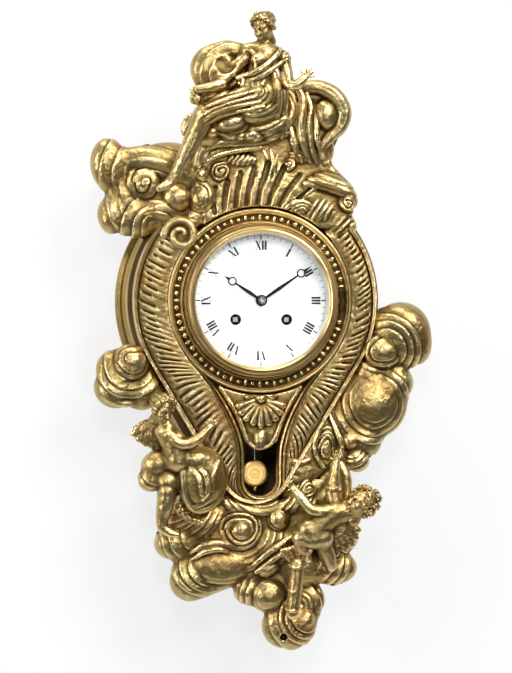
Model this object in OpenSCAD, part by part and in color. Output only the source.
// Wall clock in a gilt rocaille case: a round dial in a fluted frame set among clouds,
// with a seated figure above, two small winged figures below and a striking movement.
// Millimetres. The wall is the plane y = 0, the dial axis runs along y through the origin,
// x is to the right of the dial, z is up and the front looks towards -y.

/* [Case] */
// Thickness of the back board
board_t = 5; // [4:0.5:8]
// Distance from the wall to the front edge of the case surround
case_d = 70; // [66:1:84]
// Wall of the case surround
wall_t = 3; // [2:0.5:5]
// Radius of the upper round of the case body
body_r = 124; // [120:1:132]
// Radius of the lower round of the case body
foot_r = 44; // [40:1:52]
// Rise of the centre of the lower round above the bob
foot_rise = 10; // [6:1:14]
// Sideways shift of the case body and its fluted frame
body_x = -5; // [-8:1:0]
// Overhang of the base moulding
base_lip = 9; // [4:1:14]
// Overhang of the front moulding
front_lip = 4; // [2:1:8]
// Thickness of the casting plate
mask_t = 4; // [3:0.5:6]

/* [Front frame] */
// Radius of the upper round of the fluted frame
frame_r = 123; // [118:1:130]
// Radius of the lower round of the fluted frame
frame_foot_r = 38; // [34:1:44]
// Thickness of the frame body up to the pearl channel
floor_t = 12; // [9:0.5:16]
// Width of the outer band
band_w = 10; // [6:1:14]
// Rise of the outer band above the frame body
band_rise = 10; // [6:1:12]
// Rise of the fluted field above the frame body
field_rise = 4; // [2:0.5:6]
// Width of the pearl channel, out to the middle of its rim
channel_w = 14.1; // [13:0.1:18]
// Half thickness of the rim
rim_tube = 2.4; // [1.5:0.1:3]
// Number of pearls in the channel
pearl_count = 44; // [30:1:50]
// Half width of the pendulum window
window_r = 16.5; // [14:0.5:20]
// Height of the joint between frame and crest
crest_z = 78; // [74:1:84]

/* [Dial and bezel] */
// Radius of the enamel dial
dial_r = 69.5; // [66:0.5:71]
// Thickness of the enamel dial
dial_t = 3; // [2:0.5:4]
// Height of the dial front above the pearl channel
dial_rise = 12; // [11:0.5:15]
// Thickness of the bezel glass
glass_t = 2; // [1.5:0.5:3]
// Wall of the bezel skirt
bezel_wall = 3.2; // [2.5:0.1:4]
// Radius of the hinge pin
hinge_pin_r = 1.2; // [0.8:0.1:1.6]
// Half height of the hinge
hinge_h = 9; // [7:0.5:12]

/* [Movement] */
// Thickness of the movement plates
plate_t = 2.5; // [2:0.1:3.5]
// Clear space between the movement plates
plate_gap = 35.5; // [35:0.5:42]
// Half distance between the winding squares
wind_x = 25.6; // [24.5:0.1:27]
// Drop of the winding squares below the dial axis
wind_drop = 19; // [18:0.1:20]
// Thickness of the train wheels
wheel_t = 1.2; // [0.8:0.1:1.4]
// Radius of the winding arbors
wind_arbor_r = 2.5; // [2:0.1:3]
// Side of the winding squares
wind_square = 4.6; // [4:0.1:5]
// Radius of the train pivots
pivot_r = 0.8; // [0.6:0.05:0.9]
// Radial running clearance of pivots and pins
run_fit = 0.05; // [0.03:0.01:0.09]
// Clearance between neighbouring castings
seat_gap = 0.3; // [0.2:0.05:0.5]

/* [Pendulum and bell] */
// Height of the pendulum pivot above the dial axis
hang_z = 36; // [35:0.5:38]
// Drop of the bob centre below the dial axis
bob_drop = 176; // [166:1:178]
// Radius of the bob
bob_r = 13.6; // [11:0.2:14]
// Thickness of the bob
bob_t = 8; // [6:0.5:9]
// Radius of the pendulum rod
rod_r = 1.3; // [1:0.1:1.5]
// Radius of the bell
bell_r = 35; // [32:0.5:36]
// Clearance between the bell and the suspension cock
bell_gap = 2; // [1:0.5:4]

/* [Fixings] */
// Radius of the case screw shank
screw_r = 1.9; // [1.5:0.1:2.2]
// Radius of the casting stud
stud_r = 2; // [1.5:0.1:2.4]
// Radius of the hole in the wall hanger
hang_hole_r = 4.5; // [3.5:0.1:5]

/* [Hidden] */

// Roundness of curved faces
$fn = 64;

// Stations measured from the wall towards the front
d_mask = case_d + mask_t;
d_floor = d_mask + floor_t;
d_band = d_floor + band_rise;
d_field = d_floor + field_rise;
seat_t = 2.5;
d_seat = d_floor + seat_t;
d_fp0 = d_floor - plate_t;
d_bp1 = d_fp0 - plate_gap;
d_bp0 = d_bp1 - plate_t;
d_dial = d_floor + dial_rise;
d_dial0 = d_dial - dial_t;
d_hour = d_dial + 4;
d_minute = d_hour + 3;
hand_t = 1.2;
d_nut = d_minute + hand_t;
nut_h = 2.8;
d_glass = d_nut + nut_h + 2.2;
glass_play = 0.2;
bezel_front = d_glass + glass_t + 4.8;

// Seat, bezel and hinge
seat_wall_r = dial_r + 3.6;
bezel_in_r = seat_wall_r + 1;
bezel_r = bezel_in_r + bezel_wall;
seat_in_r = dial_r - 13.5;
open_r = seat_wall_r + 0.6;
seat_out_r = bezel_r + 0.6;
rim_r = seat_out_r + channel_w;
foot_drop = bob_drop - foot_rise;
sight_r = dial_r - 3;
skirt_d = d_seat + 1.5;
knuckle_r = hinge_pin_r + 1.4;
hinge_x = bezel_r + 4;
hinge_d = d_seat + 1.1 + knuckle_r;

// Gear proportions
addendum = 0.85;
dedendum = 1.15;
wheel_root = 0.29;
wheel_tip = 0.13;
leaf_root = 0.24;
leaf_tip = 0.1;
barrel_n = 74;
barrel_m = 0.5;
second_pin_n = 12;
second_n = 72;
second_m = 0.45;
centre_pin_n = 12;
centre_n = 80;
centre_m = 0.4;
third_pin_n = 8;
third_n = 78;
third_m = 0.4;
escape_pin_n = 6;
escape_n = 30;
escape_r = 8;
pin_pin_n = 10;
pin_n = 60;
pin_m = 0.4;
lock_pin_n = 8;
lock_n = 56;
lock_m = 0.4;
fly_pin_n = 7;
cannon_n = 12;
minute_n = 36;
motion_m = 0.6;
minute_pin_n = 10;
hour_n = 40;
hour_m = motion_m * (cannon_n + minute_n) / (minute_pin_n + hour_n);

function reach(na, nb, m) = (na + nb) * m / 2;
function turn(a) = [cos(a), sin(a)];
// Point at distance ra from a and rb from b, on the left of the way from a to b for side = 1
function meet(a, ra, b, rb, side) =
  let (v = b - a, l = norm(v), u = v / l, k = (ra * ra - rb * rb + l * l) / (2 * l))
  a + k * u + side * sqrt(ra * ra - k * k) * [-u[1], u[0]];
function bearing(a, b) = atan2(b[1] - a[1], b[0] - a[0]);

// Arbor positions seen from the front
p_centre = [0, 0];
p_going = [wind_x, -wind_drop];
p_strike = [-wind_x, -wind_drop];
barrel_reach = reach(barrel_n, second_pin_n, barrel_m);
centre_reach = reach(second_n, centre_pin_n, second_m);
p_second = meet(p_going, barrel_reach, p_centre, centre_reach, -1);
p_escape = [0, hang_z - 10];
p_third = meet(p_centre, reach(centre_n, third_pin_n, centre_m),
  p_escape, reach(third_n, escape_pin_n, third_m), 1);
p_pallet = [0, hang_z];
p_strike2 = meet(p_strike, barrel_reach, p_centre, centre_reach, -1);
p_pin = p_strike2 + reach(second_n, pin_pin_n, second_m) * turn(135);
p_lock = p_pin + reach(pin_n, lock_pin_n, pin_m) * turn(150);
p_fly = p_lock + reach(lock_n, fly_pin_n, lock_m) * turn(110);
p_minute = reach(cannon_n, minute_n, motion_m) * turn(120);
p_hammer = [-bell_r + 5, hang_z];
barrel_tip = barrel_n * barrel_m / 2 + addendum * barrel_m;
plate_r = norm(p_going) + barrel_tip + 1.2;
pillar_r = plate_r - 6;
pillar_at = [pillar_r * turn(40), pillar_r * turn(140), pillar_r * turn(-65), pillar_r * turn(-115)];
dial_foot_at = [40 * turn(30), 40 * turn(150), 40 * turn(270)];
train_at = [p_second, p_third, p_escape, p_strike2, p_pin, p_lock, p_fly];

// Depth stations of the train
barrel_d1 = d_fp0 - 1.5;
barrel_d0 = barrel_d1 - 20;
barrel_flange = 2.2;
d_second = barrel_d0 - 3.8;
d_centre = barrel_d0 - 7.4;
d_third = barrel_d0 - 11;
d_escape = barrel_d0 + 4;
d_pin = d_second;
d_lock = d_bp1 + 0.9;
// Cock on the back plate for the front pivot of the pin wheel
p_cock = p_pin + 17 * turn(215);
cock_d = barrel_d0 - 0.6;
cock_t = 1.4;
drum_r = barrel_n * barrel_m / 2 - 1.6;
drum_wall = 1.4;
arbor_hub_r = 5;
ratchet_r = 7.5;
click_reach = 13;

// Pendulum depth
d_rod = d_bp0 - 9;
cock_d0 = d_rod - 6.5;
cock_d1 = cock_d0 + 3;
crutch_d = d_rod + 3.5;
bell_back = board_t + 4;
bell_d = cock_d0 - bell_gap - bell_back;

// Case posts and screws
post_x = dial_r - 6.5;
post_half = 4.5;
lug_r = 6;
lug_in = wall_t + 4;
lug_at = concat([for (a = [30, 90, 150, 205, 335]) [body_x, 0] + (body_r - lug_in) * turn(a)],
  [[body_x, -foot_drop - foot_r + lug_in]]);
post_at = [[-post_x, 0], [post_x, 0]];
head_r = 2 * screw_r;
hanger_z = body_r - 32;

// Castings: puffs of cloud as [x, z, radius, centre in front of the casting plate]
puffs_upper_left = [[-150, 143, 21, 10], [-147, 127, 20, 8], [-112, 134, 25, 6], [-92, 141, 20, 6],
  [-118, 116, 17, 16], [-84, 104, 19, 10], [-62, 102, 18, 10], [-146, 86, 16, 10], [-130, 84, 19, 6],
  [-106, 96, 22, 6], [-136, 106, 18, 6]];
puffs_left = [[-129, -62, 19, 14], [-142, -85, 24, 8], [-118, -90, 22, 6], [-148, -72, 16, 6]];
puffs_right = [[138, -32, 31, 10], [147, -44, 27, 8], [124, -50, 19, 20], [114, -104, 36, 4],
  [136, -84, 21, 8], [116, -66, 16, 8], [104, -142, 21, 6], [92, -162, 15, 10],
  [64, -148, 15, 8], [47, -177, 15, 4]];
puffs_lower = [[-20, -229, 23, 14], [17, -221, 17, 12], [-44, -267, 25, 10], [-61, -278, 24, 6],
  [-14, -262, 24, 4], [9, -292, 22, 8], [29, -325, 26, 8], [50, -303, 17, 6], [76, -270, 21, 8],
  [44, -266, 24, 6], [-78, -246, 17, 6], [-92, -238, 14, 6], [-58, -218, 20, 4], [-76, -206, 20, 6],
  [62, -232, 22, 4], [86, -236, 18, 6],
  [16, -248, 22, 4], [-36, -244, 20, 4]];
crest_top = [61, 188];
crest_top_r = 25;
crest_t = 18;

// Limbs as pairs of [x, z, centre in front of the casting plate, radius]
limbs_top = [[[4, 272, 48, 12.5], [0, 276, 47, 12.5]], [[5, 264, 46, 6], [5, 250, 43, 7]],
  [[-12, 246, 42, 8], [18, 241, 42, 9]], [[2, 240, 46, 14], [-4, 216, 44, 15]],
  [[18, 241, 42, 8], [26, 219, 48, 6]], [[26, 219, 48, 6], [42, 224, 54, 5]],
  [[-12, 246, 42, 7], [-36, 224, 46, 6]], [[-36, 224, 46, 6], [-64, 209, 48, 6]],
  [[-4, 216, 42, 17], [-14, 200, 42, 20]], [[-14, 200, 44, 18], [-56, 184, 54, 12]],
  [[-56, 182, 52, 11], [-82, 130, 44, 8]], [[-82, 130, 44, 8], [-97, 115, 44, 6]],
  [[-4, 196, 38, 20], [16, 186, 30, 14]], [[-56, 238, 34, 16], [-34, 242, 34, 14]],
  [[-58, 224, 32, 14], [-40, 216, 32, 14]], [[-30, 190, 38, 16], [-46, 172, 34, 14]],
  [[-12, 188, 30, 21], [20, 172, 26, 16]], [[-44, 170, 30, 15], [-8, 164, 28, 16]]];
limbs_left = [[[-103, -106, 42, 12.5], [-101, -108, 41, 12]], [[-99, -118, 38, 8], [-90, -140, 36, 14]],
  [[-92, -128, 38, 8], [-72, -140, 44, 6]], [[-72, -140, 44, 6], [-53, -125, 42, 5]],
  [[-90, -140, 34, 15], [-88, -166, 32, 19]], [[-88, -168, 32, 18], [-58, -178, 34, 19]],
  [[-106, -150, 28, 14], [-108, -174, 28, 15]], [[-112, -128, 26, 9], [-122, -152, 24, 8]],
  [[-98, -178, 32, 12], [-96, -204, 30, 8]], [[-96, -204, 30, 8], [-100, -226, 28, 7]],
  [[-62, -160, 34, 16], [-54, -186, 34, 15]]];
limbs_right = [[[99, -200, 42, 15.5], [97, -202, 42, 15]], [[88, -208, 38, 9], [72, -214, 36, 13]],
  [[72, -214, 36, 13], [62, -236, 34, 13]], [[74, -200, 38, 7], [72, -168, 38, 6]],
  [[72, -168, 38, 6], [75, -154, 36, 5]], [[68, -208, 40, 7], [47, -208, 42, 6]],
  [[47, -208, 42, 6], [32, -188, 38, 5]], [[84, -232, 30, 10], [92, -250, 28, 9]],
  [[62, -236, 36, 12], [46, -228, 40, 9]]];
limb_facets = 14;
puff_facets = 18;
quiver_at = [[30, -312, 38, 7], [35, -262, 38, 7.5], [34, -252, 36, 12]];
stud_at = [[-100, 20], [90, 20], [-84, -64], [76, -64], [-140, 134], [-112, 134], [-140, -84], [138, -36],
  [112, -104], [-44, -266], [-14, -262], [28, -322], [48, -262], [0, 142], [60, 150], [-48, 98]];
stud_end = d_mask + 7;
// Arms of the casting plate behind the clouds
plate_arms = [[[-50, 80], [-148, 140]], [[-90, 60], [-146, 88]], [[-90, -50], [-142, -84]], [[90, -10], [146, -42]],
  [[60, -70], [116, -104]], [[60, -90], [100, -150]], [[0, -190], [-58, -276]], [[0, -190], [28, -324]],
  [[0, -190], [84, -240]], [[0, -200], [76, -268]], [[-20, -170], [-90, -238]]];

// Body drawn by its outline seen from the front, between two distances from the wall
module slab(d0, d1) {
  translate([0, -d0, 0]) rotate([90, 0, 0]) linear_extrude(d1 - d0) children();
}

// Round bar along the dial axis direction
module bar(p, d0, d1, r) {
  translate([p[0], -d0, p[1]]) rotate([90, 0, 0]) cylinder(r = r, h = d1 - d0);
}

// Ring turned about the dial axis, profile given as [radius, distance from the wall]
module turned(points) {
  rotate([90, 0, 0]) rotate_extrude($fn = 128) polygon(points);
}

module at(p) {
  translate([p[0], 0, p[1]]) children();
}

// Two rounds joined by their common tangents
module pear(r1, r2, drop) {
  s = (r1 - r2) / drop;
  c = sqrt(1 - s * s);
  circle(r = r1);
  translate([0, -drop]) circle(r = r2);
  polygon([[-r1 * c, -r1 * s], [-r2 * c, -drop - r2 * s], [r2 * c, -drop - r2 * s], [r1 * c, -r1 * s]]);
}

module body_outline(grow) {
  translate([body_x, 0]) pear(body_r + grow, foot_r + grow, foot_drop);
}

// Fluted frame outline below the joint with the crest
module frame_outline(grow) {
  difference() {
    translate([body_x, 0]) pear(frame_r + grow, frame_foot_r + grow, foot_drop);
    translate([-body_r * 2, crest_z + grow]) square([body_r * 4, body_r]);
  }
  circle(r = rim_r + rim_tube + grow);
}

// Pendulum window, wider where it reaches up beside the shell
module window_outline(grow) {
  low = -bob_drop - 4.5;
  r = window_r + grow;
  translate([1, low]) circle(r = r);
  translate([1 - r, low]) square([2 * r, 34]);
  polygon([[1 - r, low + 34], [1 + r, low + 34], [1 + r + 10, low + 62], [1 - r - 10, low + 62]]);
}

module crest_outline(grow) {
  difference() {
    union() {
      polygon([[70, 80], [97 + grow, 92], [96 + grow, 118], [74 + grow, 138], [66 + grow, 164], [50, 190],
        [14, 172 + grow], [-24, 150 + grow], [-50 - grow, 132], [-56 - grow, 112], [-46 - grow, 82]]);
      translate(crest_top) circle(r = crest_top_r + grow);
      translate([90, 100]) circle(r = 13 + grow);
    }
    circle(r = rim_r + rim_tube + seat_gap - grow);
    translate([-body_r, -body_r]) square([2 * body_r, body_r + crest_z + seat_gap - grow]);
  }
}

// Raised field of the crest
module crest_field(grow) {
  polygon([[20, 104], [54 + grow, 124], [44 + grow, 146 + grow], [16, 162 + grow], [-14 - grow, 146 + grow],
    [-38 - grow, 126], [-20, 104]]);
}

// Radius of the plate behind a puff, a little inside the puff's own edge
function backing(p) = sqrt(max(20, p[2] * p[2] - pow(p[3], 2))) - 0.8;

module puffs(list, grow) {
  for (p = list) translate([p[0], -d_mask - p[3], p[1]]) sphere(r = p[2] + grow);
}

// The same puffs as closed shells of flat facets, for the clouds with many of them
module puff_shells(list) {
  for (p = list) translate([p[0], -d_mask - p[3], p[1]]) hull() sphere(r = p[2], $fn = puff_facets);
}

// Everything behind a distance from the wall
module behind(d) {
  translate([-300, -d, -400]) cube([600, d + 50, 800]);
}

module stud_holes() {
  for (p = stud_at) bar(p, d_mask - 1, stud_end + 0.5, stud_r + 0.15);
}

module cloud(list) {
  difference() {
    if (len(list) < 6) puffs(list, 0);
    else puff_shells(list);
    behind(d_mask);
    slab(d_mask - 1, d_mask + 90) frame_outline(seat_gap);
    slab(d_mask - 1, d_mask + 90) crest_outline(seat_gap);
    stud_holes();
  }
}

module limbs(list) {
  for (l = list) hull() for (e = l) translate([e[0], -d_mask - e[2], e[1]]) sphere(r = e[3], $fn = limb_facets);
}

// Toothed outline with straight flanks
function teeth(n, m, root, tip) = [for (i = [0:n - 1])
  for (k = [[-root, -dedendum], [-tip, addendum], [tip, addendum], [root, -dedendum]])
    (n / 2 + k[1]) * m * turn((i + k[0]) * 360 / n)];

module pinion(n, m, phase) {
  rotate(phase) polygon(teeth(n, m, leaf_root, leaf_tip));
}

// Crossed-out train wheel
module wheel(n, m, phase) {
  inner = (n / 2 - dedendum) * m - 1.6;
  rotate(phase) polygon_ring(n, m, inner);
  circle(r = 3.2);
  for (a = [45:90:315]) rotate(a) translate([0, -0.9]) square([inner + 0.4, 1.8]);
}

module polygon_ring(n, m, inner) {
  difference() {
    polygon(teeth(n, m, wheel_root, wheel_tip));
    circle(r = inner);
  }
}

// Arbor between the plates with a pivot in each plate
module train_arbor(r) {
  bar([0, 0], d_bp1 + 0.3, d_fp0 - 0.3, r);
  bar([0, 0], d_bp0 + 0.2, d_floor - 0.2, pivot_r);
}

// A tooth of the wheel at a points to the pinion at b
function wheel_phase(a, b) = bearing(a, b);
function pinion_phase(a, b, n) = bearing(b, a) + 180 / n;

module back_board() {
  color([0.45, 0.32, 0.2]) difference() {
    slab(0, board_t) body_outline(base_lip - 1);
    for (p = concat(lug_at, post_at)) {
      bar(p, -1, board_t + 1, screw_r + 0.2);
      bar(p, -1, 2.6, head_r + 0.3);
    }
    slab(-1, 2.7) translate([-20.2, hanger_z - 14.2]) square([40.4, 28.4]);
    bar([0, hanger_z], 2, board_t + 1, hang_hole_r + 4);
  }
}

module hanger_plate() {
  color([0.5, 0.5, 0.52]) difference() {
    slab(0.2, 2.7) translate([-20, hanger_z - 14]) square([40, 28]);
    bar([0, hanger_z], 0, 3, hang_hole_r);
  }
}

module case_surround() {
  color([0.72, 0.55, 0.25]) difference() {
    union() {
      slab(board_t, board_t + 11) body_outline(base_lip);
      slab(board_t + 11, case_d - 9) body_outline(0);
      slab(case_d - 9, case_d) body_outline(front_lip);
    }
    difference() {
      slab(board_t - 1, case_d + 1) body_outline(-wall_t);
      for (p = lug_at) bar(p, board_t - 2, board_t + 16, lug_r);
    }
    for (p = lug_at) bar(p, board_t - 1, board_t + 13, screw_r + 0.1);
  }
}

// Straight bar between two points, w to each side
module arm(a, b, w) {
  side = w * turn(bearing(a, b) + 90);
  polygon([a - side, b - side, b + side, a + side]);
}

module crest_backing() {
  polygon([[60, 90], [80, 118], [70, 140], [88, 180], [74, 206], [52, 200], [40, 170], [0, 160], [-40, 130], [-40, 90]]);
}

module casting_plate() {
  color([0.68, 0.52, 0.24]) difference() {
    union() {
      slab(case_d, d_mask) body_outline(front_lip - 1);
      for (list = [puffs_upper_left, puffs_left, puffs_right, puffs_lower])
        for (p = list) slab(case_d, d_mask) translate([p[0], p[1]]) circle(r = backing(p), $fn = 12);
      slab(case_d, d_mask) crest_backing();
      for (a = plate_arms) slab(case_d, d_mask) arm(a[0], a[1], 10);
    }
    slab(case_d - 1, d_mask + 1) circle(r = open_r);
    slab(case_d - 1, d_mask + 1) window_outline(2);
    for (p = stud_at) bar(p, case_d - 1, d_mask + 1, stud_r + 0.15);
  }
}

module case_screw(p, d, way) {
  translate([p[0], -d, p[1]]) rotate([way * 90, 0, 0]) {
    cylinder(r = screw_r, h = 12);
    difference() {
      translate([0, 0, -2.2]) cylinder(r = head_r, h = 2.2);
      translate([-head_r - 1, -0.4, -3]) cube([2 * head_r + 2, 0.8, 1.6]);
    }
  }
}

module case_screws() {
  color([0.4, 0.42, 0.46]) {
    for (p = concat(lug_at, post_at)) case_screw(p, 2.6, 1);
    for (p = post_at) case_screw(p, d_seat, -1);
  }
}

module casting_studs() {
  color([0.6, 0.48, 0.25]) for (p = stud_at) {
    bar(p, case_d - 6, stud_end, stud_r);
    slab(case_d - 3.5, case_d) translate(p) circle(r = 2.2 * stud_r, $fn = 6);
  }
}

module fluted_frame() {
  color([0.8, 0.62, 0.3]) difference() {
    union() {
      slab(d_mask, d_floor) frame_outline(0);
      slab(d_floor, d_field) difference() {
        frame_outline(0);
        circle(r = rim_r);
      }
      slab(d_field, d_band) intersection() {
        difference() {
          translate([body_x, 0]) pear(frame_r, frame_foot_r, foot_drop);
          translate([body_x, 0]) pear(frame_r - band_w, frame_foot_r - band_w, foot_drop);
        }
        frame_outline(0);
      }
      slab(d_field, d_field + 4) window_outline(5);
      translate([0, -d_floor, 0]) rotate([90, 0, 0])
        rotate_extrude($fn = 128) translate([rim_r, rim_tube]) circle(r = rim_tube);
    }
    slab(d_mask - 1, d_band + 1) circle(r = open_r);
    slab(d_floor, d_band + 1) circle(r = rim_r - rim_tube - 0.1);
    slab(d_mask - 1, d_band + 1) window_outline(0);
    slab(d_field, d_band + 1) translate([0, -rim_r - 4]) square([64, 62], center = true);
    stud_holes();
  }
}

module pearl_ring() {
  pearl_r = (seat_out_r + rim_r - rim_tube) / 2;
  ring_in = seat_out_r + seat_gap;
  ring_out = rim_r - rim_tube - 0.4;
  color([0.8, 0.62, 0.3]) difference() {
    union() {
      slab(d_floor, d_floor + 2) difference() {
        circle(r = ring_out);
        circle(r = ring_in);
      }
      for (i = [0:pearl_count - 1]) rotate([0, (i + 0.5) * 360 / pearl_count, 0])
        translate([pearl_r, -d_floor - 2.4, 0]) sphere(r = 2.3, $fn = 24);
    }
    translate([hinge_x - 30, -d_floor - 20, -hinge_h - 1]) cube([60, 30, 2 * hinge_h + 2]);
    behind(d_floor);
  }
}

module shell_apron() {
  color([0.82, 0.64, 0.32]) difference() {
    union() {
      slab(d_field, d_field + 5) translate([0, -rim_r - 16]) pear(24, 8.5, 33);
      for (a = [-66:22:66]) translate([0, -d_field - 4, -rim_r - 7]) rotate([0, a, 0]) hull() {
        sphere(r = 3.5, $fn = limb_facets);
        translate([0, 0, -26]) sphere(r = 5.5, $fn = limb_facets);
      }
      hull() translate([0, -d_field - 5, -rim_r - 7]) sphere(r = 7, $fn = puff_facets);
    }
    behind(d_field);
    bar([0, 0], d_mask, d_band + 30, rim_r + rim_tube + seat_gap);
  }
}

module crest() {
  color([0.8, 0.62, 0.3]) difference() {
    union() {
      slab(d_mask, d_mask + crest_t) crest_outline(0);
      bar(crest_top, d_mask + 6, d_mask + crest_t + 10, crest_top_r - 6);
      bar([90, 102], d_mask + 6, d_mask + crest_t + 8, 10);
      slab(d_mask + crest_t, d_mask + crest_t + 8) crest_field(0);
    }
    behind(d_mask);
    bar([0, 0], d_mask - 1, d_mask + 60, rim_r + rim_tube + seat_gap);
    stud_holes();
  }
}

module cloud_upper_left() {
  color([0.78, 0.6, 0.28]) cloud(puffs_upper_left);
}

module cloud_left() {
  color([0.78, 0.6, 0.28]) cloud(puffs_left);
}

module cloud_right() {
  color([0.78, 0.6, 0.28]) cloud(puffs_right);
}

module cloud_lower() {
  color([0.78, 0.6, 0.28]) cloud(puffs_lower);
}

module figure_seat(lists) {
  behind(d_mask);
  for (l = lists) puffs(l, seat_gap);
  slab(d_mask - 1, d_band + seat_gap) frame_outline(seat_gap);
}

module figure_top() {
  color([0.84, 0.66, 0.34]) difference() {
    limbs(limbs_top);
    figure_seat([puffs_upper_left]);
    slab(d_mask - 1, d_mask + crest_t + seat_gap) crest_outline(seat_gap);
    slab(d_mask, d_mask + crest_t + 8 + seat_gap) crest_field(2 * seat_gap);
    bar(crest_top, d_mask, d_mask + 80, crest_top_r + seat_gap);
  }
}

module figure_left() {
  color([0.84, 0.66, 0.34]) difference() {
    limbs(limbs_left);
    figure_seat([puffs_left, puffs_lower]);
  }
}

module figure_right() {
  color([0.84, 0.66, 0.34]) difference() {
    limbs(limbs_right);
    figure_seat([puffs_right, puffs_lower]);
  }
}

module quiver() {
  a = quiver_at[0];
  b = quiver_at[1];
  c = quiver_at[2];
  color([0.8, 0.62, 0.3]) difference() {
    union() {
      hull() for (e = [a, b]) translate([e[0], -d_mask - e[2], e[1]]) sphere(r = e[3], $fn = limb_facets);
      translate([c[0], -d_mask - c[2], c[1]]) sphere(r = c[3], $fn = limb_facets);
    }
    behind(d_mask);
    puffs(puffs_lower, seat_gap);
    limbs([for (l = limbs_right) [for (e = l) [e[0], e[1], e[2], e[3] + 1]]]);
  }
}

module bezel_seat() {
  color([0.78, 0.62, 0.32]) difference() {
    turned([[seat_in_r, d_floor], [seat_out_r, d_floor], [seat_out_r, d_seat], [seat_wall_r, d_seat],
      [seat_wall_r, d_dial + 1], [dial_r + 0.2, d_dial + 1], [dial_r + 0.2, d_dial0], [dial_r - 2.6, d_dial0],
      [dial_r - 2.6, d_seat], [seat_in_r, d_seat]]);
    for (p = post_at) bar(p, d_floor - 1, d_seat + 1, screw_r + 0.2);
  }
}

module bezel() {
  color([0.82, 0.65, 0.34]) difference() {
    union() {
      turned([[bezel_in_r, skirt_d], [bezel_r, skirt_d], [bezel_r, d_dial + 6], [bezel_r - 1.5, d_glass - 1],
        [bezel_r - 4.4, bezel_front - 2], [sight_r + 2.5, bezel_front], [sight_r, bezel_front - 2],
        [sight_r, d_glass + glass_t + glass_play], [dial_r + 0.6, d_glass + glass_t + glass_play],
        [dial_r + 0.6, d_glass - 1.2], [bezel_in_r, d_glass - 1.2]]);
      translate([hinge_x, -hinge_d, -hinge_h / 3]) cylinder(r = knuckle_r, h = hinge_h * 2 / 3);
      translate([bezel_r - 1, -hinge_d - 1, -hinge_h / 3]) cube([hinge_x - bezel_r, 2, hinge_h * 2 / 3]);
      translate([-bezel_r - 5, -skirt_d - 5, -4]) cube([6, 3, 8]);
    }
    translate([hinge_x, -hinge_d, -hinge_h]) cylinder(r = hinge_pin_r + run_fit, h = 2 * hinge_h);
  }
}

module bezel_glass() {
  color([0.8, 0.9, 0.92, 0.35])
    turned([[0, d_glass], [dial_r, d_glass], [dial_r, d_glass + glass_t * 0.4], [sight_r - 8, d_glass + glass_t],
      [0, d_glass + glass_t]]);
}

module hinge_bracket() {
  low = hinge_h / 3 + 0.3;
  color([0.75, 0.58, 0.3]) difference() {
    union() {
      for (z = [-hinge_h, low]) translate([hinge_x, -hinge_d, z]) cylinder(r = knuckle_r, h = hinge_h - low);
      translate([bezel_in_r + 1, -d_seat - 1.1, -hinge_h]) cube([hinge_x - bezel_in_r + 1, 1.1, 2 * hinge_h]);
      for (z = [-hinge_h, low]) translate([hinge_x - 1, -hinge_d, z]) cube([2, hinge_d - d_seat, hinge_h - low]);
    }
    translate([hinge_x, -hinge_d, -hinge_h - 1]) cylinder(r = hinge_pin_r + run_fit, h = 2 * hinge_h + 2);
  }
}

module hinge_pin() {
  color([0.6, 0.5, 0.3]) {
    translate([hinge_x, -hinge_d, -hinge_h]) cylinder(r = hinge_pin_r, h = 2 * hinge_h);
    translate([hinge_x, -hinge_d, hinge_h]) cylinder(r = hinge_pin_r + 0.6, h = 1);
  }
}

module dial() {
  color([0.97, 0.97, 0.95]) difference() {
    bar([0, 0], d_dial0, d_dial, dial_r);
    bar([0, 0], d_dial0 - 1, d_dial + 1, 4.2);
    for (p = [p_going, p_strike]) bar(p, d_dial0 - 1, d_dial + 1, 5.6);
  }
}

module dial_feet() {
  color([0.7, 0.5, 0.3]) for (p = dial_foot_at) bar(p, d_floor, d_dial0, 2);
}

module case_posts() {
  color([0.75, 0.6, 0.3]) difference() {
    for (p = post_at) {
      translate([p[0] - 1.25, -d_floor, -5]) cube([2.5, d_floor - board_t, 10]);
      for (d = [board_t + 12, d_floor])
        translate([p[0] - post_half, -d, -5]) cube([2 * post_half, 12, 10]);
    }
    for (p = post_at) {
      bar(p, board_t - 1, board_t + 11, screw_r + 0.1);
      bar(p, d_floor - 11, d_floor + 1, screw_r + 0.1);
    }
  }
}

module plate_outline() {
  circle(r = plate_r);
}

module pillar_holes(d0, d1) {
  for (p = pillar_at) bar(p, d0 - 1, d1 + 1, 1.5 + run_fit);
}

module front_plate() {
  color([0.85, 0.7, 0.35]) {
    difference() {
      slab(d_fp0, d_floor) {
        plate_outline();
        for (z = [plate_r - 2, -seat_in_r - 3]) translate([-6, z]) square([12, seat_in_r + 5 - plate_r]);
      }
      for (p = train_at) if (p != p_pin) bar(p, d_fp0 - 1, d_floor + 1, pivot_r + run_fit);
      bar(p_pallet, d_fp0 - 1, d_floor + 1, pivot_r + run_fit);
      bar(p_hammer, d_fp0 - 1, d_floor + 1, pivot_r + run_fit);
      bar(p_centre, d_fp0 - 1, d_floor + 1, 1.25 + run_fit);
      for (p = [p_going, p_strike]) bar(p, d_fp0 - 1, d_floor + 1, wind_arbor_r + run_fit);
      pillar_holes(d_fp0, d_floor);
    }
    bar(p_minute, d_floor, d_dial0 - 1, 1);
    for (p = click_at) bar(p, d_floor, d_floor + 3.4, 1.2);
  }
}

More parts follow.
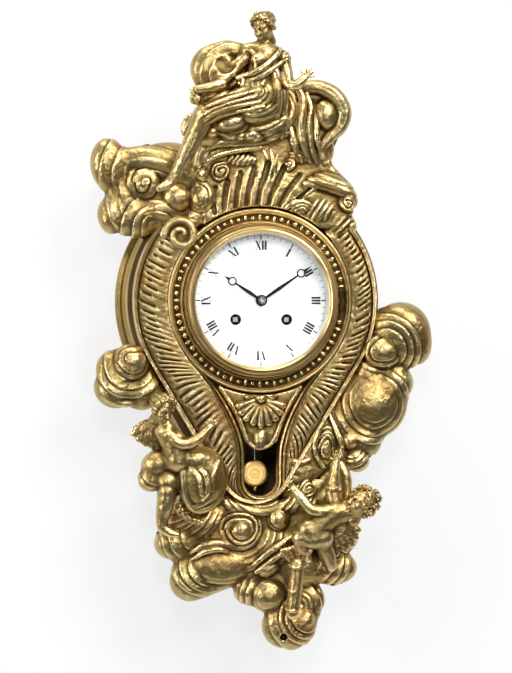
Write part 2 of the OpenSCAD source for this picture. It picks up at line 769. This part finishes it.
module back_plate() {
  color([0.85, 0.7, 0.35]) difference() {
    union() {
      slab(d_bp0, d_bp1) plate_outline();
      bar(p_cock, d_bp1, cock_d, 2.2);
      slab(cock_d - cock_t, cock_d) {
        translate(p_pin) circle(r = 2.6);
        arm(p_cock, p_pin, 2);
      }
    }
    bar(p_pin, d_bp1 + 1, cock_d + 1, pivot_r + run_fit);
    for (p = train_at) bar(p, d_bp0 - 1, d_bp1 + 1, pivot_r + run_fit);
    for (p = [p_pallet, p_hammer]) bar(p, d_bp0 - 1, d_bp1 + 1, 1.2 + run_fit);
    bar(p_centre, d_bp0 - 1, d_bp1 + 1, 1.25 + run_fit);
    for (p = [p_going, p_strike]) bar(p, d_bp0 - 1, d_bp1 + 1, wind_arbor_r + run_fit);
    pillar_holes(d_bp0, d_bp1);
  }
}

module pillars() {
  color([0.8, 0.65, 0.32]) for (p = pillar_at) {
    bar(p, d_bp1, d_fp0, 3);
    bar(p, d_bp0 - 1.5, d_floor + 1.5, 1.5);
  }
}

module barrel(p, q) {
  at(p) difference() {
    union() {
      slab(barrel_d0, barrel_d0 + barrel_flange)
        rotate(wheel_phase(p, q)) polygon(teeth(barrel_n, barrel_m, wheel_root, wheel_tip));
      bar([0, 0], barrel_d0, barrel_d1, drum_r);
    }
    bar([0, 0], barrel_d0 + barrel_flange, barrel_d1 - drum_wall, drum_r - drum_wall);
    bar([0, 0], barrel_d0 - 1, barrel_d1 + 1, wind_arbor_r + run_fit);
  }
}

// Flat coiled strip lying inside its drum
module mainspring(p) {
  coils = 5;
  steps = 20;
  r0 = arbor_hub_r + 1;
  r1 = drum_r - drum_wall - 1.2;
  function spiral(k, t) = (r0 + (r1 - r0) * k / (coils * steps) + t) * turn(k * 360 / steps);
  at(p) slab(barrel_d0 + barrel_flange + 0.6, barrel_d1 - drum_wall - 0.6)
    polygon(concat([for (k = [0:coils * steps]) spiral(k, 0.5)],
      [for (k = [coils * steps:-1:0]) spiral(k, -0.1)]));
}

module winding_arbor(p, hand) {
  at(p) {
    bar([0, 0], d_bp0 + 0.2, d_floor + 4, wind_arbor_r);
    bar([0, 0], barrel_d0 + barrel_flange + 0.6, barrel_d1 - drum_wall - 0.6, arbor_hub_r);
    slab(d_floor + 4, d_dial - 1.5) square(wind_square, center = true);
    slab(d_floor + 1, d_floor + 3) polygon([for (i = [0:17]) for (k = [[0, ratchet_r - 1.3], [0.1, ratchet_r]])
      k[1] * turn(hand * (i + k[0]) * 20)]);
  }
}

click_at = [p_going + click_reach * turn(35), p_strike + click_reach * turn(145)];

// Click arm with its nose beside the ratchet
module click(p, c, nose) {
  tip = p + (ratchet_r + 0.4) * turn(nose);
  side = 2 * turn(bearing(c, tip) + 90);
  difference() {
    slab(d_floor + 1, d_floor + 3) {
      translate(c) circle(r = 2.6);
      polygon([c - side, tip, c + side]);
    }
    bar(c, d_floor, d_floor + 4, 1.2 + run_fit);
  }
}

module going_barrel() {
  color([0.85, 0.7, 0.35]) barrel(p_going, p_second);
}

module going_mainspring() {
  color([0.35, 0.38, 0.45]) mainspring(p_going);
}

module going_arbor() {
  color([0.6, 0.6, 0.62]) winding_arbor(p_going, 1);
}

module going_click() {
  color([0.55, 0.55, 0.58]) click(p_going, click_at[0], 75);
}

module going_second_wheel() {
  color([0.85, 0.7, 0.35]) at(p_second) {
    slab(d_second, d_second + wheel_t) wheel(second_n, second_m, wheel_phase(p_second, p_centre));
    slab(barrel_d0 - 0.6, barrel_d0 + barrel_flange + 0.6)
      pinion(second_pin_n, barrel_m, pinion_phase(p_going, p_second, second_pin_n));
    train_arbor(1.4);
  }
}

module centre_wheel() {
  color([0.85, 0.7, 0.35]) {
    slab(d_centre, d_centre + wheel_t) wheel(centre_n, centre_m, wheel_phase(p_centre, p_third));
    slab(d_second - 0.8, d_second + wheel_t + 0.8)
      pinion(centre_pin_n, second_m, pinion_phase(p_second, p_centre, centre_pin_n));
    bar(p_centre, d_bp0 + 0.2, d_nut, 1.25);
  }
}

module third_wheel() {
  color([0.85, 0.7, 0.35]) at(p_third) {
    slab(d_third, d_third + wheel_t) wheel(third_n, third_m, wheel_phase(p_third, p_escape));
    slab(d_centre - 0.8, d_centre + wheel_t + 0.8)
      pinion(third_pin_n, centre_m, pinion_phase(p_centre, p_third, third_pin_n));
    train_arbor(1);
  }
}

module escape_wheel() {
  color([0.85, 0.7, 0.35]) at(p_escape) {
    slab(d_escape, d_escape + wheel_t) difference() {
      polygon([for (i = [0:escape_n - 1]) for (k = [[0, escape_r - 2], [0.32, escape_r], [0.44, escape_r]])
        k[1] * turn(-(i + k[0]) * 360 / escape_n)]);
      for (a = [0:90:270]) rotate(a) translate([3.9, 0]) circle(r = 1.2);
    }
    slab(d_third - 0.8, d_third + wheel_t + 0.8)
      pinion(escape_pin_n, third_m, pinion_phase(p_third, p_escape, escape_pin_n));
    train_arbor(0.7);
  }
}

// Anchor, its arbor and the crutch that holds the pendulum rod
module pallets() {
  span = escape_r + 0.9;
  fork_z = hang_z - 28;
  color([0.55, 0.55, 0.58]) {
    at(p_pallet) {
      slab(d_escape - 0.4, d_escape + wheel_t + 0.4) {
        circle(r = 1.7);
        polygon([[0, -0.8], [span * 0.59, -10 + span * 0.83], [span * 0.66, -10 + span * 0.78],
          [span * 0.62, -10 + span * 0.86], [0, 2.2], [-span * 0.62, -10 + span * 0.86],
          [-span * 0.66, -10 + span * 0.78], [-span * 0.59, -10 + span * 0.83]]);
      }
      bar([0, 0], d_bp1 + 0.3, d_fp0 - 0.3, 1);
      bar([0, 0], d_bp1, d_floor - 0.2, pivot_r);
      bar([0, 0], crutch_d - 0.6, d_bp1 + 0.3, 1.2);
    }
    slab(crutch_d, crutch_d + 1.6) {
      translate(p_pallet) circle(r = 3);
      translate([-1.2, fork_z]) square([2.4, hang_z - fork_z]);
      translate([-3.4, fork_z - 1.2]) square([6.8, 2.4]);
    }
    for (s = [-1, 1]) bar([s * (rod_r + 1), fork_z], d_rod - 2, crutch_d, 0.7);
  }
}

module suspension_cock() {
  color([0.82, 0.66, 0.34]) difference() {
    union() {
      slab(cock_d0, cock_d1) translate([-17, hang_z - 5]) square([34, 13]);
      for (s = [-1, 1]) bar([s * 13, hang_z + 3], cock_d1, d_bp0, 3.5);
    }
    bar(p_pallet, cock_d0 - 1, cock_d1 + 1, 1.2 + run_fit);
  }
}

module suspension() {
  color([0.6, 0.6, 0.64]) {
    bar(p_pallet, cock_d0 - 0.5, d_rod + 2, 1.2);
    slab(d_rod - 2, d_rod + 2) translate([-0.5, hang_z - 14]) square([1, 14]);
    slab(d_rod - 2.4, d_rod + 2.4) translate([-3, hang_z - 19]) square([6, 6]);
  }
}

module pendulum_rod() {
  color([0.7, 0.6, 0.4]) difference() {
    translate([0, -d_rod, -bob_drop - bob_r - 6]) cylinder(r = rod_r, h = hang_z - 19 + bob_drop + bob_r + 6);
    translate([-5, -d_rod - 5, hang_z - 19]) cube([10, 10, 10]);
  }
}

module pendulum_bob() {
  half = bob_t / 2;
  color([0.86, 0.72, 0.34]) difference() {
    at([0, -bob_drop]) translate([0, -d_rod, 0]) rotate([90, 0, 0]) rotate_extrude($fn = 96)
      polygon([[0, -half], [bob_r - 2, -half + 0.6], [bob_r, -1.5], [bob_r, 1.5], [bob_r - 2, half - 0.6],
        [0, half]]);
    translate([0, -d_rod, -bob_drop - 2 * bob_r]) cylinder(r = rod_r + run_fit, h = 4 * bob_r);
    bar([0, -bob_drop], d_rod + half - 0.8, d_rod + half + 1, 0.9);
  }
}

module rating_nut() {
  top = -bob_drop - bob_r - 0.2;
  color([0.8, 0.64, 0.32]) difference() {
    translate([0, -d_rod, top - 4]) cylinder(r = 4, h = 4);
    translate([0, -d_rod, top - 5]) cylinder(r = rod_r + run_fit, h = 6);
  }
}

cannon_r = 2.2;
hour_pipe_r = 3.3;

module cannon_pinion() {
  color([0.7, 0.7, 0.72]) difference() {
    union() {
      slab(d_floor + 1, d_floor + 4) pinion(cannon_n, motion_m, bearing(p_centre, p_minute));
      bar(p_centre, d_floor + 1, d_nut, cannon_r);
    }
    bar(p_centre, d_floor, d_nut + 1, 1.25 + run_fit);
  }
}

module minute_wheel() {
  color([0.85, 0.7, 0.35]) at(p_minute) difference() {
    union() {
      slab(d_floor + 1.6, d_floor + 3) wheel(minute_n, motion_m, bearing(p_minute, p_centre) + 180 / minute_n);
      slab(d_floor + 3, d_floor + 7) pinion(minute_pin_n, hour_m, bearing(p_minute, p_centre));
    }
    bar([0, 0], d_floor, d_dial0, 1 + run_fit);
  }
}

module hour_wheel() {
  color([0.85, 0.7, 0.35]) difference() {
    union() {
      slab(d_floor + 4.8, d_floor + 6.2) {
        wheel(hour_n, hour_m, bearing(p_centre, p_minute) + 180 / hour_n);
        circle(r = 4.6);
      }
      bar(p_centre, d_floor + 4.8, d_hour + hand_t, hour_pipe_r);
    }
    bar(p_centre, d_floor, d_nut, cannon_r + run_fit);
  }
}

hour_at = 303.3;
minute_at = 55.5;

// Open-ring hand pointing up before it is turned to its place
module hand(tail, ring_at, ring_out, ring_in, tip_at, bore) {
  difference() {
    union() {
      circle(r = tail);
      polygon([[1.1, 0], [1.9, ring_at * 0.42], [0.8, ring_at - ring_out + 0.5], [-0.8, ring_at - ring_out + 0.5],
        [-1.9, ring_at * 0.42], [-1.1, 0]]);
      translate([0, ring_at]) circle(r = ring_out);
      polygon([[1.5, ring_at + ring_out - 0.8], [0, tip_at], [-1.5, ring_at + ring_out - 0.8]]);
    }
    circle(r = bore);
    translate([0, ring_at]) circle(r = ring_in);
  }
}

module hour_hand() {
  color([0.1, 0.1, 0.16]) slab(d_hour, d_hour + hand_t) rotate(-hour_at)
    hand(5.8, 34.9, 4.5, 3.1, 45.3, hour_pipe_r + run_fit);
}

module minute_hand() {
  color([0.1, 0.1, 0.16]) slab(d_minute, d_minute + hand_t) rotate(-minute_at)
    hand(5, 47.9, 4.5, 3.1, 61, cannon_r + run_fit);
}

module hand_nut() {
  color([0.55, 0.55, 0.58]) turned([[0, d_nut], [4, d_nut], [4, d_nut + 1], [2.4, d_nut + nut_h], [0, d_nut + nut_h]]);
}

module strike_barrel() {
  color([0.85, 0.7, 0.35]) barrel(p_strike, p_strike2);
}

module strike_mainspring() {
  color([0.35, 0.38, 0.45]) mainspring(p_strike);
}

module strike_arbor() {
  color([0.6, 0.6, 0.62]) winding_arbor(p_strike, -1);
}

module strike_click() {
  color([0.55, 0.55, 0.58]) click(p_strike, click_at[1], 105);
}

module strike_second_wheel() {
  color([0.85, 0.7, 0.35]) at(p_strike2) {
    slab(d_third, d_third + wheel_t) wheel(second_n, second_m, wheel_phase(p_strike2, p_pin));
    slab(barrel_d0 - 0.6, barrel_d0 + barrel_flange + 0.6)
      pinion(second_pin_n, barrel_m, pinion_phase(p_strike, p_strike2, second_pin_n));
    train_arbor(1.4);
  }
}

module pin_wheel() {
  color([0.85, 0.7, 0.35]) at(p_pin) {
    slab(d_pin, d_pin + wheel_t) wheel(pin_n, pin_m, wheel_phase(p_pin, p_lock));
    slab(d_third - 0.8, d_third + wheel_t + 0.8)
      pinion(pin_pin_n, second_m, pinion_phase(p_strike2, p_pin, pin_pin_n));
    for (a = [0:36:324]) bar(10.3 * turn(a), d_pin - 2, d_pin, 0.5);
    bar([0, 0], d_bp1 + 0.3, cock_d - cock_t - 0.1, 1.2);
    bar([0, 0], d_bp0 + 0.2, cock_d - 0.1, pivot_r);
  }
}

module locking_wheel() {
  color([0.85, 0.7, 0.35]) at(p_lock) {
    slab(d_lock, d_lock + wheel_t) wheel(lock_n, lock_m, wheel_phase(p_lock, p_fly));
    slab(d_pin - 0.8, d_pin + wheel_t + 0.8)
      pinion(lock_pin_n, pin_m, pinion_phase(p_pin, p_lock, lock_pin_n));
    train_arbor(1);
  }
}

module fly() {
  color([0.85, 0.7, 0.35]) at(p_fly) {
    slab(d_lock - 0.5, d_lock + wheel_t + 1)
      pinion(fly_pin_n, lock_m, pinion_phase(p_lock, p_fly, fly_pin_n));
    train_arbor(0.7);
    slab(barrel_d0 + 2, barrel_d1 - 4) square([13, 0.8], center = true);
  }
}

module hammer() {
  d_arm = bell_back + bell_d * 0.55;
  head = [-bell_r - 4, 2];
  arm = head - p_hammer;
  color([0.55, 0.55, 0.58]) {
    bar(p_hammer, d_arm - 1, d_bp1 + 0.3, 1.2);
    bar(p_hammer, d_bp1, d_floor - 0.2, pivot_r);
    bar(p_hammer, d_bp1 + 0.3, d_fp0 - 0.3, 1);
    slab(d_arm, d_arm + 2) {
      translate(p_hammer) circle(r = 2.6);
      polygon([p_hammer + [-1, 0], head + [-1, 0], head + [1, 0], p_hammer + [1, 0]]);
      translate(head) circle(r = 3);
    }
    bar(head, d_arm - 3, d_arm + 5, 3);
  }
}

module bell() {
  d0 = bell_back;
  d1 = d0 + bell_d;
  color([0.7, 0.62, 0.4]) turned([[2.05, d0], [bell_r * 0.55, d0 + 0.5], [bell_r * 0.86, d0 + bell_d * 0.3],
    [bell_r, d1], [bell_r - 1.6, d1], [bell_r * 0.86 - 2, d0 + bell_d * 0.3 + 1], [bell_r * 0.55, d0 + 2.6],
    [2.05, d0 + 2.4]]);
}

module bell_stand() {
  leg_x = bell_r - 7;
  leg_d = bell_back + bell_d - 3;
  color([0.6, 0.6, 0.62]) {
    bar([leg_x, 0], leg_d - 2, d_bp0, 2);
    translate([0, -leg_d, 0]) rotate([0, 90, 0]) cylinder(r = 2, h = leg_x);
    bar([0, 0], board_t + 2, leg_d, 2);
    bar([0, 0], board_t + 1.6, board_t + 3.9, 4);
    bar([0, 0], board_t + 6.5, leg_d, 3);
  }
}

back_board();
hanger_plate();
case_surround();
casting_plate();
case_screws();
casting_studs();
fluted_frame();
pearl_ring();
shell_apron();
crest();
cloud_upper_left();
cloud_left();
cloud_right();
cloud_lower();
figure_top();
figure_left();
figure_right();
quiver();
bezel_seat();
bezel();
bezel_glass();
hinge_bracket();
hinge_pin();
dial();
dial_feet();
case_posts();
front_plate();
back_plate();
pillars();
going_barrel();
going_mainspring();
going_arbor();
going_click();
going_second_wheel();
centre_wheel();
third_wheel();
escape_wheel();
pallets();
suspension_cock();
suspension();
pendulum_rod();
pendulum_bob();
rating_nut();
cannon_pinion();
minute_wheel();
hour_wheel();
hour_hand();
minute_hand();
hand_nut();
strike_barrel();
strike_mainspring();
strike_arbor();
strike_click();
strike_second_wheel();
pin_wheel();
locking_wheel();
fly();
hammer();
bell();
bell_stand();
